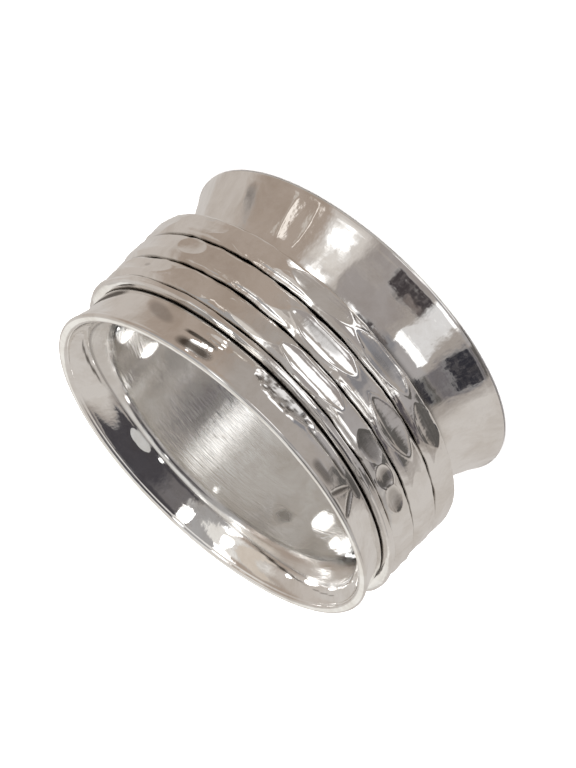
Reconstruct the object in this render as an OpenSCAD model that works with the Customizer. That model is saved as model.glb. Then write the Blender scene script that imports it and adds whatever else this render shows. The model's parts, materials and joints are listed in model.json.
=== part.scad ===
// Wide spinner ring: a flared band that carries four loose hammered bands.
// The ring lies on its side. +Z runs along the finger, and z = 0 is the rim that it stands on.
// The long flare is at the foot and the short flare is at the top.

/* [Band] */
// Diameter of the bore, which is the finger size
bore_d = 17.7; // [15:0.1:21]
// Thickness of the wall under the spinners
band_wall = 0.8; // [0.6:0.05:1.1]
// How far the rims stand out beyond the waist
flare_rise = 1.35; // [1.2:0.05:1.8]
// Thickness of the metal at the lips of both rims
lip_wall = 0.55; // [0.45:0.05:0.7]
// Rounding of the lips
lip_round = 0.18; // [0.1:0.01:0.2]
// Height of the long flare, at the foot
long_flare_h = 3.65; // [2.5:0.05:5]
// Height of the bell mouth inside the short flare, at the top
short_flare_h = 1.95; // [1.4:0.05:3]
// Height of the collar outside the short flare, above the spinners
collar_h = 2.15; // [1.8:0.05:3]
// How far the foot of the collar stands out beyond the waist
collar_rise = 0.85; // [0.5:0.05:1.1]

/* [Spinners] */
// Width of the low spinner
low_w = 1.6; // [1.2:0.05:2.4]
// Width of the middle spinner
middle_w = 1.8; // [1.2:0.05:2.4]
// Width of the high spinner
high_w = 1.55; // [1.2:0.05:2.4]
// Width of the narrow spinner
narrow_w = 0.5; // [0.4:0.05:1]
// Thickness of the spinners, from their bore to the top of their crown
spinner_wall = 1.45; // [1.2:0.05:1.7]
// How far the crown falls to the edges of a spinner
edge_drop = 0.26; // [0.2:0.02:0.4]
// Depth of the hammer marks
mark_depth = 0.13; // [0.05:0.01:0.2]

/* [Fit] */
// Clearance all round between the waist and the bore of a spinner
spinner_fit = 0.15; // [0.12:0.01:0.25]
// Clearance between spinners, and between the stack and the long flare
slot_gap = 0.06; // [0.04:0.01:0.15]
// Clearance between the stack and the collar
collar_gap = 0.1; // [0.05:0.01:0.2]
// Angle at which the loose spinners lean on the waist
lean = 2.2; // [0:0.1:2.5]

/* [Hidden] */

bore_r = bore_d / 2;
waist_r = bore_r + band_wall;
rim_r = waist_r + flare_rise;
spinner_bore_r = waist_r + spinner_fit;
crown_r = spinner_bore_r + spinner_wall;

// Heights of the spinners' lower faces, measured along their own leaning axis from the low one's
low_at = 0;
middle_at = low_at + low_w + slot_gap;
high_at = middle_at + middle_w + slot_gap;
narrow_at = high_at + high_w + slot_gap;
stack_h = narrow_at + narrow_w;

// A leaning face reaches this far down at the bore of a spinner
bore_reach = spinner_bore_r * tan(lean);
stack_foot = long_flare_h + bore_reach + slot_gap;
seat_z = stack_foot + (stack_h + collar_gap) / cos(lean);
band_h = seat_z + collar_h;

// Steps of one flare's curve, and of a rounded lip
curve_steps = 10;
round_steps = 4;
// Columns round a spinner
columns = 120;

// Handles of the curves, as shares of a flare's height: at the waist, and at the lip
LONG_HANDLES = [0.3, 0.45];
SHORT_HANDLES = [0.12, 0.62];
COLLAR_HANDLES = [0.35, 0.35];
// Outward slope of the metal at the lips, rise over height
long_lip_slope = 0.36;
short_lip_slope = 0.2;

// Across a spinner: share of its width, share of the edge drop
SECTION = [
    [0.00, 1.00], [0.06, 0.45], [0.14, 0.12], [0.28, 0.02], [0.50, 0.00],
    [0.70, 0.04], [0.80, 0.18], [0.90, 0.55], [1.00, 1.00]
];

// Hammer marks: angle, place across, half length in degrees, half width, share of the mark depth
LOW_MARKS = [
    [214, 0.45, 10, 0.50, 0.7], [235, 0.40, 10, 0.45, 0.8], [257, 0.50, 12, 0.55, 1.0],
    [281, 0.42, 12, 0.52, 0.9], [303, 0.50, 11, 0.50, 0.7], [325, 0.45, 12, 0.50, 0.8],
    [350, 0.50, 13, 0.52, 0.8], [14, 0.45, 12, 0.50, 0.9], [39, 0.52, 13, 0.52, 0.7],
    [64, 0.45, 12, 0.50, 1.0], [90, 0.50, 13, 0.55, 0.8], [116, 0.45, 12, 0.50, 0.9],
    [141, 0.50, 12, 0.50, 0.7], [166, 0.42, 13, 0.52, 0.9], [191, 0.50, 12, 0.50, 0.8]
];
MIDDLE_MARKS = [
    [216, 0.50, 11, 0.48, 0.7], [240, 0.45, 12, 0.48, 1.0], [271, 0.45, 14, 0.52, 1.0],
    [294, 0.45, 10, 0.48, 0.8], [310, 0.40, 7, 0.45, 0.6], [325, 0.35, 6, 0.32, 0.8],
    [341, 0.50, 10, 0.50, 0.7], [5, 0.45, 13, 0.52, 0.9], [30, 0.50, 12, 0.48, 0.8],
    [55, 0.42, 13, 0.50, 0.9], [81, 0.50, 13, 0.52, 0.7], [107, 0.45, 12, 0.48, 1.0],
    [132, 0.50, 13, 0.52, 0.8], [157, 0.45, 12, 0.48, 0.9], [183, 0.50, 13, 0.50, 0.8],
    [200, 0.45, 7, 0.40, 0.6]
];
HIGH_MARKS = [
    [208, 0.50, 9, 0.48, 0.6], [225, 0.48, 8, 0.42, 0.9], [241, 0.45, 7, 0.45, 0.9],
    [269, 0.48, 13, 0.55, 1.0], [292, 0.42, 11, 0.50, 0.8], [313, 0.50, 11, 0.50, 0.7],
    [336, 0.45, 12, 0.50, 0.9], [1, 0.50, 13, 0.52, 0.8], [26, 0.45, 12, 0.48, 0.9],
    [51, 0.50, 12, 0.50, 0.7], [76, 0.45, 13, 0.52, 1.0], [102, 0.50, 12, 0.50, 0.8],
    [127, 0.45, 13, 0.52, 0.9], [153, 0.50, 12, 0.48, 0.8], [180, 0.45, 14, 0.50, 0.9]
];
NARROW_MARKS = [
    [222, 0.50, 13, 0.60, 0.5], [248, 0.45, 12, 0.60, 0.6], [270, 0.50, 10, 0.55, 0.5],
    [292, 0.45, 11, 0.60, 0.6], [318, 0.50, 13, 0.60, 0.5], [345, 0.45, 12, 0.55, 0.6],
    [12, 0.50, 13, 0.60, 0.5], [40, 0.45, 13, 0.60, 0.6], [70, 0.50, 14, 0.55, 0.5],
    [100, 0.45, 14, 0.60, 0.6], [130, 0.50, 14, 0.60, 0.5], [162, 0.45, 15, 0.60, 0.6],
    [194, 0.50, 14, 0.60, 0.5]
];

// Smallest turn between two angles, in degrees
function turn(a, b) = let (d = abs(a - b) % 360) min(d, 360 - d);

// Depth of a lens-shaped mark at (along, across), each counted from -1 to 1: 1 at its middle
function lens(along, across) =
    let (room = 1 - along * along)
    room <= 0 ? 0 : max(0, room - across * across / room);

// Depth of the deepest mark at an angle and a share of the width
function marked(marks, a, t) =
    mark_depth * max([for (m = marks) m[4] * lens(turn(a, m[0]) / m[2], (t - m[1]) / m[3])]);

// Points of the curve that leaves p0 along p1 and reaches p3 along p2
function curve(p0, p1, p2, p3, steps) = [
    for (i = [0:steps])
        let (t = i / steps, s = 1 - t)
        s * s * s * p0 + 3 * s * s * t * p1 + 3 * s * t * t * p2 + t * t * t * p3
];

// One wall of a flare, from r0 at the waist to r1 at the lip; up is 1 or -1
function flare(r0, z0, r1, h, handles, slope, up) =
    curve(
        [r0, z0],
        [r0, z0 + up * handles[0] * h],
        [r1 - slope * handles[1] * h, z0 + up * (1 - handles[1]) * h],
        [r1, z0 + up * h],
        curve_steps
    );

// A rounded corner: centre, first and last angle
function round_corner(c, a0, a1) = [
    for (i = [0:round_steps])
        let (a = a0 + (a1 - a0) * i / round_steps)
        c + lip_round * [cos(a), sin(a)]
];

function without_last(list) = [for (i = [0:len(list) - 2]) list[i]];
function backwards(list) = [for (i = [len(list) - 1:-1:0]) list[i]];

// The body turned about the finger's axis, with a collar that reaches down into the stack
module turned_band() {
    lip_in = rim_r - lip_wall;
    collar_r = waist_r + collar_rise;
    collar_foot = seat_z - rim_r * tan(lean);
    outer_foot = flare(waist_r, long_flare_h, rim_r, long_flare_h, LONG_HANDLES, long_lip_slope, -1);
    outer_top = flare(collar_r, seat_z, rim_r, collar_h, COLLAR_HANDLES, short_lip_slope, 1);
    inner_foot = flare(bore_r, long_flare_h, lip_in, long_flare_h, LONG_HANDLES, long_lip_slope, -1);
    inner_top = flare(
        bore_r, band_h - short_flare_h, lip_in, short_flare_h,
        SHORT_HANDLES, short_lip_slope, 1
    );
    rotate_extrude($fn = 180)
        polygon(concat(
            [[waist_r, collar_foot], [collar_r, collar_foot]],
            without_last(outer_top),
            round_corner([rim_r - lip_round, band_h - lip_round], 0, 90),
            round_corner([lip_in + lip_round, band_h - lip_round], 90, 180),
            backwards(without_last(inner_top)),
            without_last(inner_foot),
            round_corner([lip_in + lip_round, lip_round], 180, 270),
            round_corner([rim_r - lip_round, lip_round], 270, 360),
            backwards(without_last(outer_foot))
        ));
}

// The slot that the leaning stack needs round the waist, up to the collar's seat
module stack_slot() {
    difference() {
        translate([0, 0, seat_z])
            rotate([0, lean, 0])
                translate([0, 0, -stack_h])
                    cylinder(h = stack_h, r = 1.5 * rim_r, $fn = 90);
        cylinder(h = band_h, r = waist_r, $fn = 180);
    }
}

module band() {
    color("silver")
        difference() {
            turned_band();
            stack_slot();
        }
}

// A loose band with hammer marks, w wide, whose lower face is at_h up the leaning stack
module spinner(w, at_h, marks) {
    rows = len(SECTION);
    skin = [
        for (s = SECTION)
            for (i = [0:columns - 1])
                let (a = 360 * i / columns, r = crown_r - s[1] * edge_drop - marked(marks, a, s[0]))
                [r * cos(a), r * sin(a), s[0] * w]
    ];
    sides = [
        for (j = [0:rows - 2])
            for (i = [0:columns - 1])
                let (k = (i + 1) % columns, low = j * columns, up = low + columns)
                each [[low + i, up + k, low + k], [low + i, up + i, up + k]]
    ];
    foot = rows * columns;
    top = foot + 1;
    ends = [
        for (i = [0:columns - 1])
            let (k = (i + 1) % columns, up = (rows - 1) * columns)
            each [[foot, i, k], [top, up + k, up + i]]
    ];
    middle = at_h + w / 2;
    translate([0, 0, stack_foot + middle / cos(lean)])
        rotate([0, lean, 0])
            translate([0, 0, -w / 2])
                difference() {
                    polyhedron(concat(skin, [[0, 0, 0], [0, 0, w]]), concat(sides, ends));
                    translate([0, 0, -w])
                        cylinder(h = 3 * w, r = spinner_bore_r, $fn = columns);
                }
}

module low_spinner() {
    color("lightgray") spinner(low_w, low_at, LOW_MARKS);
}

module middle_spinner() {
    color("silver") spinner(middle_w, middle_at, MIDDLE_MARKS);
}

module high_spinner() {
    color("lightgray") spinner(high_w, high_at, HIGH_MARKS);
}

module narrow_spinner() {
    color("silver") spinner(narrow_w, narrow_at, NARROW_MARKS);
}

band();
low_spinner();
middle_spinner();
high_spinner();
narrow_spinner();
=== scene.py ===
import json
import math
import random
from collections import namedtuple

import bmesh
import bpy
import numpy as np
from bpy.props import FloatProperty, FloatVectorProperty, IntProperty, PointerProperty
from mathutils import Matrix, Vector


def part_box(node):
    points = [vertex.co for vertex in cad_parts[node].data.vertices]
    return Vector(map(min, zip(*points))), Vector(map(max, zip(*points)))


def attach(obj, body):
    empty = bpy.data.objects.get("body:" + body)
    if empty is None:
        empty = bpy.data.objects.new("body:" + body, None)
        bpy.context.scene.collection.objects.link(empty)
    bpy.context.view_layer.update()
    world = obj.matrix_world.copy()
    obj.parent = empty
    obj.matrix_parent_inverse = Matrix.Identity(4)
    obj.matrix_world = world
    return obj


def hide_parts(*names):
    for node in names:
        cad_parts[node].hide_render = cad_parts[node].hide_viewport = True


bl_info = {
    "name": "Spinner Ring",
    "version": (1, 0, 0),
    "blender": (4, 5, 0),
    "location": "View3D > Sidebar > Ring",
    "description": "A flared silver band with four loose hammered bands, and a plain studio for it",
    "category": "Add Mesh",
}

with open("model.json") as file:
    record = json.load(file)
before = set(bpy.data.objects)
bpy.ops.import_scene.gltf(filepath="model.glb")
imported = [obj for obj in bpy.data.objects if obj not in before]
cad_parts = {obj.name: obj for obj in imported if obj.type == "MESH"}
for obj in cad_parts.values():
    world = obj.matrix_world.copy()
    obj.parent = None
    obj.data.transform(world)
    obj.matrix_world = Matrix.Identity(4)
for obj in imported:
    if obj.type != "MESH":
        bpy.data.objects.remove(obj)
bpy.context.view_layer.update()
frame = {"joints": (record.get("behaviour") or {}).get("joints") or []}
SPINS = {j["child"]: j for j in frame["joints"]}
MM = 0.001

# Points nearer than this, in metres, are one point
SAME_PLACE = 1e-7

# A row of MARKS or DENTS; it may leave off its last four values
Mark = namedtuple("Mark", "angle across long wide depth point slant rim stain", defaults=(0, 0, 1, 0))

# A patch of light or dark that the silver mirrors, on the surroundings or on a card
Patch = namedtuple("Patch", "name across up half_wide half_high soft tone")

# Spinner: width in millimetres
WIDTHS = {"low_spinner": 1.6, "middle_spinner": 1.8, "high_spinner": 1.55, "narrow_spinner": 0.5}

# Across a spinner: share of its width, share of the edge drop
SECTION = [
    (0.00, 1.00), (0.03, 0.66), (0.06, 0.45), (0.14, 0.12), (0.28, 0.02), (0.50, 0.00),
    (0.70, 0.04), (0.80, 0.18), (0.90, 0.55), (0.96, 0.80), (1.00, 1.00),
]

# Hammer marks on the spinners, as rows of Mark: the place across and the half width are shares of the
# spinner's width, angle and half length are degrees, and depth is a share of Mark Depth. A point
# above 0 draws the ends in and one below 0 squares them; rim and the darkening of the mark are strengths
MARKS = {
    "low_spinner": [
        (214, 0.48, 10, 0.44, 0.5, 0.7), (233, 0.42, 8, 0.40, 0.9, 0.8),
        (256, 0.46, 11, 0.38, 1.0, 0.6, 0, 1.8),
        (280, 0.42, 11, 0.40, 0.8, 0.5), (304, 0.50, 11, 0.46, 0.6, 0.7), (326, 0.45, 11, 0.42, 0.6, 0.5),
        (350, 0.50, 12, 0.46, 0.8, 0.6), (14, 0.45, 12, 0.44, 0.9, 0.7), (39, 0.52, 12, 0.46, 0.7, 0.6),
        (64, 0.45, 12, 0.44, 1.0, 0.7), (90, 0.50, 12, 0.46, 0.8, 0.6), (116, 0.45, 12, 0.44, 0.9, 0.7),
        (141, 0.50, 12, 0.44, 0.7, 0.6), (166, 0.42, 12, 0.46, 0.9, 0.7), (190, 0.50, 11, 0.44, 0.7, 0.6),
        (294, 0.90, 11, 0.09, 0.35, 0, 25, 3), (258, 0.94, 12, 0.07, 0.3, 0, 0, 3),
        (255, 0.55, 6, 0.2, 0.5, 0.3, 0, 2, 0.25), (321, 0.93, 9, 0.06, 0.25, 0, 0, 2),
    ],
    "middle_spinner": [
        (212, 0.50, 12, 0.44, 0.5, 0.7), (241, 0.46, 10.5, 0.36, 1.1, 0.6, 0, 2.2),
        (271, 0.44, 12, 0.42, 1.0, 0.6, 0, 1.6), (294, 0.46, 10, 0.42, 0.6, 0.6),
        (308, 0.40, 6, 0.40, 0.6, 0.6), (322, 0.40, 5.5, 0.32, 0.9, 0, 0, 1.8),
        (341, 0.50, 11, 0.44, 0.6, 0.6), (5, 0.45, 12, 0.46, 0.9, 0.7), (30, 0.50, 12, 0.44, 0.8, 0.6),
        (55, 0.42, 12, 0.44, 0.9, 0.7), (81, 0.50, 12, 0.46, 0.7, 0.6), (107, 0.45, 12, 0.44, 1.0, 0.7),
        (132, 0.50, 12, 0.46, 0.8, 0.6), (157, 0.45, 12, 0.44, 0.9, 0.7), (183, 0.50, 12, 0.44, 0.7, 0.6),
        (292, 0.91, 10, 0.08, 0.35, 0, -20, 3), (253, 0.93, 7, 0.06, 0.3, 0, 0, 3),
        (313, 0.94, 10, 0.06, 0.25, 0, 0, 2), (272, 0.40, 8, 0.24, 0.25, 0, 0, 1.5, 0.5),
        (236, 0.55, 1.2, 0.22, 0.5, 0, 20, 1.5, 0.3),
    ],
    "high_spinner": [
        (202, 0.50, 12, 0.44, 0.5, 0.6), (223, 0.55, 5, 0.32, 1.0, 0, 0, 1.8, 0.35),
        (231.5, 0.55, 4, 0.32, 1.0, 0, 0, 2, 0.3), (242, 0.45, 6, 0.42, 0.9, 0.7, 0, 1, 0.5),
        (267, 0.46, 12, 0.44, 1.0, 0.6, 0, 1.6), (289, 0.46, 10.5, 0.46, 0.6, 0.6),
        (310, 0.50, 10, 0.44, 0.5, 0.6), (334, 0.42, 12, 0.44, 0.9, 0.4, 0, 1.3),
        (359, 0.50, 12, 0.46, 0.8, 0.7), (25, 0.45, 12, 0.44, 0.9, 0.6), (51, 0.50, 12, 0.44, 0.7, 0.7),
        (76, 0.45, 12, 0.46, 1.0, 0.6), (102, 0.50, 12, 0.44, 0.8, 0.7), (127, 0.45, 12, 0.46, 0.9, 0.6),
        (153, 0.50, 12, 0.44, 0.8, 0.7), (178, 0.45, 12, 0.44, 0.9, 0.6),
        (249, 0.92, 8, 0.07, 0.35, 0, 0, 3), (298, 0.08, 12, 0.06, 0.3, 0, 0, 3),
        (234, 0.08, 12, 0.06, 0.4, 0, 0, 2), (333, 0.45, 1.6, 0.1, 0.5, 0, 0, 1, 0.3),
    ],
    "narrow_spinner": [
        (222, 0.50, 13, 0.60, 0.5, 1), (248, 0.45, 12, 0.60, 0.6, 1), (270, 0.50, 10, 0.55, 0.5, 1),
        (292, 0.45, 11, 0.60, 0.6, 1), (318, 0.50, 13, 0.60, 0.5, 1), (345, 0.45, 12, 0.55, 0.6, 1),
        (12, 0.50, 13, 0.60, 0.5, 1), (40, 0.45, 13, 0.60, 0.6, 1), (70, 0.50, 14, 0.55, 0.5, 1),
        (100, 0.45, 14, 0.60, 0.6, 1), (130, 0.50, 14, 0.60, 0.5, 1), (162, 0.45, 15, 0.60, 0.6, 1),
        (194, 0.50, 14, 0.60, 0.5, 1),
    ],
}

# Dents in the band's flares, as rows of Mark: here the place across is a height in millimetres, with
# 100 added inside the ring, half widths are millimetres, and slant is in degrees a millimetre
DENTS = [
    # far flare
    (233, 1.0, 7, 1.6, 0.3, 0, 0, 0), (250, 2.5, 7, 0.9, 0.4, 0, 0, 0),
    (276, 2.3, 6, 1.4, 0.3, 0, 0, 0), (304, 1.6, 4.2, 1.9, 0.5, 0, 0, 1),
    (318, 1.3, 9, 1.6, 0.4, 0, 0, 0.3), (326, 1.0, 2.4, 0.45, 0, 0, 0, 0, 0.25),
    (340, 1.4, 11, 1.5, 0.5, 0, 0, 0.6), (208, 1.2, 14, 1.6, 0.4, 0, 0, 0.4),
    (0, 1.3, 12, 1.5, 0.6, 0), (25, 1.6, 11, 1.5, 0.5, 0), (49, 1.2, 12, 1.6, 0.6, 0),
    (74, 1.6, 12, 1.5, 0.5, 0), (98, 1.2, 11, 1.5, 0.6, 0), (122, 1.5, 12, 1.6, 0.5, 0),
    (147, 1.3, 12, 1.5, 0.6, 0), (174, 1.5, 13, 1.5, 0.5, 0),
    # collar
    # The dark of these two rows is painted: a dark reflection on the facet at 297 degrees, and a dark
    # line under it painted the same way
    (297, 11.3, 7, 0.3, 0.3, -3, 0, 1.5, 1.0), (297.5, 10.66, 6.5, 0.09, 0, -3, 0, 0, 1.5),
    (315, 10.45, 6, 0.5, 0.4, 0, -8, 0.2, 0.38), (268, 10.12, 11.5, 0.54, 0.5, 0.5, 0, 5, 0.4),
    (286, 10.0, 5, 0.25, 0.5, 0, 0, 1),
    (293, 10.25, 5, 0.2, 0.7, 0, 0, 2), (246, 11.35, 5, 0.3, 0.15, -3, 0, 0, 0.6),
    (252, 10.3, 8, 0.11, 0.6, 0, 0, 2, 0.7), (243, 10.3, 5, 0.12, 0.6, 0, 8, 1, 0.8),
    (235, 10.2, 5, 0.2, 0.5, 0, 0, 0.5, 0.4),
    (232.5, 11.1, 1.0, 0.95, 1.0, 0, -3.5, 0.6, 0.8), (238, 11.2, 1.0, 0.9, 0.9, 0, 2.5, 0.6, 0.8),
    # The stains of the rows at 346 and 187 degrees are painted shadow in the gap under the collar
    (222, 10.9, 6, 0.6, 0.3, 0, 0, 0.3), (346, 10.22, 9, 0.4, 0.6, 0, 22, 0, 1.1),
    (187, 10.05, 8, 0.3, 0.4, 0, 0, 0, 1.0),
    (206, 11.0, 9, 0.6, 0.4, 0, 0, 0.3), (188, 11.0, 9, 0.6, 0.5, 0, 0, 0.3),
    (168, 11.0, 10, 0.7, 0.5, 0), (145, 10.9, 10, 0.6, 0.6, 0),
    (120, 11.1, 11, 0.6, 0.5, 0), (96, 10.9, 10, 0.6, 0.6, 0), (70, 11.0, 11, 0.6, 0.5, 0),
    (46, 10.9, 10, 0.6, 0.6, 0), (22, 11.0, 11, 0.6, 0.5, 0), (355, 10.8, 10, 0.6, 0.5, 0, 0, 0.5),
    (335, 10.9, 9, 0.6, 0.4, 0, 0, 0.4),
    # bell mouth
    (76, 111.2, 12, 0.6, 0.2, 0, 0, 0), (66, 110.6, 6, 0.25, 0.7, 0, 0, 0.3),
    # The stains of the rows at 134, 160 and 24 degrees are painted shade in the crease
    (134, 110.6, 6, 0.24, 0, 0, 66, 0, 1), (160, 110.97, 3, 0.14, 0, 0, 66, 0, 0.6),
    (24, 110.7, 7, 0.2, 0, 0, -80, 0, 0.9),
    (30, 111.0, 10, 0.6, 0.3, 0, 0, 0),
    (200, 111.0, 12, 0.6, 0.5, 0, 0, 0.3), (228, 111.0, 12, 0.6, 0.6, 0, 0, 0.3),
    (256, 111.0, 12, 0.6, 0.5, 0, 0, 0.3), (284, 111.0, 12, 0.6, 0.6, 0, 0, 0.3),
    (312, 111.0, 12, 0.6, 0.5, 0, 0, 0.3), (340, 111.0, 12, 0.6, 0.6, 0, 0, 0.3),
    # bore
    # The stains of the rows at 75.5, 67.5 and 50 degrees are painted dark reflections, upright darker
    # bands in the bore; the row at 124 degrees paints a darker smudge
    (124, 108.3, 4, 0.4, 0, 0, 0, 0, 0.45), (75.5, 106.4, 2.6, 1.7, 0, -3, 0, 0, 0.35),
    (67.5, 106.4, 7, 1.5, 0, -3, 0, 0, 0.16), (50, 105.9, 8, 1.0, 0, -3, 0, 0, 0.2),
]

# The rough patch on the collar: middle, half length in degrees, half height, how many pits
ROUGH_PATCH = (268, 10.2, 11.5, 0.45, 34)
PIT_SEED = 7


def pits():
    """Small pits strewn over the rough patch, as rows of DENTS."""
    draw = random.Random(PIT_SEED)
    angle, height, long, tall, count = ROUGH_PATCH
    rows = []
    for _ in range(count):
        turn, reach = draw.uniform(0, math.tau), math.sqrt(draw.random())
        rows.append(Mark(
            angle=angle + long * reach * math.cos(turn), across=height + tall * reach * math.sin(turn),
            long=draw.uniform(0.6, 1.5), wide=draw.uniform(0.05, 0.11), depth=draw.uniform(0.3, 0.9),
            rim=draw.uniform(0, 3), stain=draw.uniform(0.5, 1.0),
        ))
    return rows


def length(label, description, millimetres, precision=5):
    """A size of the ring, as a property."""
    return FloatProperty(
        name=label, description=description, default=millimetres * MM, min=0.0, unit="LENGTH",
        precision=precision,
    )


def colour(label, description, tone):
    """A colour, as a property."""
    return FloatVectorProperty(
        name=label, description=description, default=tone, min=0.0, max=1.0, subtype="COLOR",
    )


def roughness(label, description, share):
    """A roughness, as a property."""
    return FloatProperty(
        name=label, description=description, default=share, min=0.0, max=1.0, subtype="FACTOR",
    )


class RingSizes(bpy.types.PropertyGroup):
    """Sizes of the ring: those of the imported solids, but the collar's foot is wider and lower."""

    bore_r: length("Bore Radius", "Radius of the finger bore", 8.85)
    waist_r: length("Waist Radius", "Outside radius of the band under the spinners", 9.65)
    rim_r: length("Rim Radius", "Outside radius of both rims", 11.0)
    lip_wall: length("Lip Wall", "Thickness of the metal at the rims", 0.55)
    lip_round: length("Lip Rounding", "Rounding of the rims", 0.18)
    long_flare_h: length("Long Flare", "Height of the flare at the foot", 3.65)
    short_flare_h: length("Short Flare", "Height of the bell mouth at the top", 1.95)
    crease_r: length("Crease Radius", "Radius of the crease inside the bell mouth", 9.25)
    crease_spread: length("Crease Spread", "How much wider the crease is at two sides", 0.5)
    crease_rise: length("Crease Rise", "How much nearer the rim the crease lies at two sides", 0.7)
    crease_deep: length("Crease Depth", "How deep that crease lies below the rim", 1.62)
    collar_h: length("Collar", "Height of the short flare above the spinners", 2.19)
    collar_rise: length("Collar Rise", "How far the collar's foot stands out beyond the waist", 1.0)
    spinner_bore_r: length("Spinner Bore", "Inside radius of the spinners", 9.8)
    crown_r: length("Spinner Crown", "Outside radius of the spinners", 11.25)
    edge_drop: length("Edge Drop", "How far a spinner's crown falls to its edges", 0.26)
    mark_depth: length("Mark Depth", "Depth of a full hammer mark", 0.13)
    mark_rim: length("Mark Rim", "Height of the rim that the hammer raises round a mark", 0.014, 6)
    dent_depth: length("Dent Depth", "Depth of a full dent in the flares", 0.1)
    ripple: length("Ripple", "Height of the slight unevenness of hand-worked metal", 0.012, 6)
    columns: IntProperty(
        name="Columns", description="Steps round the ring", default=720, min=90, max=720,
    )


class SilverLook(bpy.types.PropertyGroup):
    """Colours and finish of the silver."""

    bright: colour("Silver", "Colour of clean polished silver", (0.93, 0.92, 0.90))
    worn: colour("Worn Silver", "Colour of silver that has dulled a little", (0.80, 0.77, 0.73))
    # This dark colour is painted shade in the gaps between the pieces and in the crease of the bell
    # mouth, painted dark reflections at a few dents, and real stains in the pits of the rough patch
    shade_and_tarnish_colour: colour("Groove Tarnish", "Colour of the tarnish between the spinners", (0.13, 0.115, 0.10))
    polish: roughness("Polished Roughness", "Roughness of the polished metal", 0.07)
    satin: roughness("Satin Roughness", "Roughness of the brushed bore", 0.13)


class StudioLook(bpy.types.PropertyGroup):
    """The floor, the light and the camera's distance."""

    paper: colour("Paper", "Colour of the floor", (0.93, 0.93, 0.93))
    key_power: FloatProperty(
        name="Overhead Light", description="Power of the soft light above the floor",
        default=9.0, min=0.0, unit="POWER",
    )
    distance: FloatProperty(
        name="Camera Distance", description="From the middle of the ring to the camera",
        default=0.22, min=0.05, unit="LENGTH",
    )


# Sections of the turned pieces


def bezier(p0, p1, p2, p3, steps):
    """Points of a cubic curve, both ends included."""
    t = np.linspace(0.0, 1.0, steps + 1)[:, None]
    s = 1 - t
    return s**3 * p0 + 3 * s * s * t * p1 + 3 * s * t * t * p2 + t**3 * p3


def flare(r0, z0, r1, h, handles, slope, up, steps):
    """One wall of a flare, from (r0, z0) at the waist to r1 at the lip."""
    return bezier(
        np.array([r0, z0]),
        np.array([r0, z0 + up * handles[0] * h]),
        np.array([r1 - slope * handles[1] * h, z0 + up * (1 - handles[1]) * h]),
        np.array([r1, z0 + up * h]),
        steps,
    )


def corner(r, z, radius, first, last, steps=4):
    """A rounding from one angle to another, in degrees."""
    a = np.radians(np.linspace(first, last, steps + 1))
    return np.stack([r + radius * np.cos(a), z + radius * np.sin(a)], 1)


def straight(a, b, steps):
    """Points of a straight line, both ends included."""
    t = np.linspace(0.0, 1.0, steps + 1)[:, None]
    return (1 - t) * np.array(a) + t * np.array(b)


class Outline:
    """A closed section: its points, and what the turning does at each of them."""

    # The darkening trait of a section is painted shade, in the gaps between the pieces and in the crease
    # of the bell mouth
    TRAITS = ("across", "bite", "lean", "satin", "tarnish", "cup")

    def __init__(self):
        self.points = []
        self.traits = {name: [] for name in self.TRAITS}

    def add(self, points, **traits):
        """Adds points; a trait is one value or one for each point, and 0 where it isn't given."""
        points = np.asarray(points, float)
        self.points.append(points)
        for name, rows in self.traits.items():
            rows.append(np.broadcast_to(traits.get(name, 0.0), len(points)))

    def mesh(self, name):
        """A string of loose points that the turning tree reads, the last on top of the first."""
        points = np.concatenate(self.points)
        apart = np.append(True, np.linalg.norm(np.diff(points, axis=0), axis=1) > SAME_PLACE)
        points = points[apart]
        traits = np.array([np.concatenate(rows)[apart] for rows in self.traits.values()]).T
        way = np.roll(points, -1, axis=0) - np.roll(points, 1, axis=0)
        way /= np.linalg.norm(way, axis=1)[:, None]
        points, way, traits = (np.vstack([rows, rows[:1]]) for rows in (points, way, traits))
        mesh = bpy.data.meshes.new(name)
        zero = np.zeros(len(points))
        mesh.from_pydata(np.stack([points[:, 0], zero, points[:, 1]], 1).tolist(), [], [])
        put(mesh, "outward", np.stack([way[:, 1], zero, -way[:, 0]], 1))
        put(mesh, "strike", traits[:, :3])
        put(mesh, "finish", traits[:, 3:])
        return mesh


def put(mesh, name, vectors):
    """Keeps a vector on each point of a mesh."""
    attribute = mesh.attributes.new(name, "FLOAT_VECTOR", "POINT")
    attribute.data.foreach_set("vector", np.ascontiguousarray(vectors, np.float32).ravel())


def marks_object(name, marks):
    """Points that carry the marks: place and depth in the position, the rest in two attributes."""
    mesh = bpy.data.meshes.new(name)
    rows = [Mark(*mark) for mark in marks]
    mesh.from_pydata([(math.radians(m.angle), m.across, m.depth) for m in rows], [], [])
    put(mesh, "reach", [(math.radians(m.long), m.wide, m.point) for m in rows])
    put(mesh, "set", [(math.radians(m.slant), m.rim, m.stain) for m in rows])
    thing = bpy.data.objects.new(name, mesh)
    bpy.context.scene.collection.objects.link(thing)
    return thing


# Numbers in node trees


def link(tree, a, b):
    """Feeds a socket or a Value into a socket."""
    tree.links.new(getattr(a, "socket", a), b)


def feed(tree, value, socket):
    """Sets a socket to a number, or links a Value or another socket to it."""
    if isinstance(value, (int, float)):
        socket.default_value = value
    else:
        link(tree, value, socket)


def calc(tree, operation, *operands):
    """A Math node; each operand is a Value, a socket or a number."""
    node = tree.nodes.new("ShaderNodeMath")
    node.operation = operation
    for socket, operand in zip(node.inputs, operands):
        feed(tree, operand, socket)
    return Value(tree, node.outputs[0])


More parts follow.
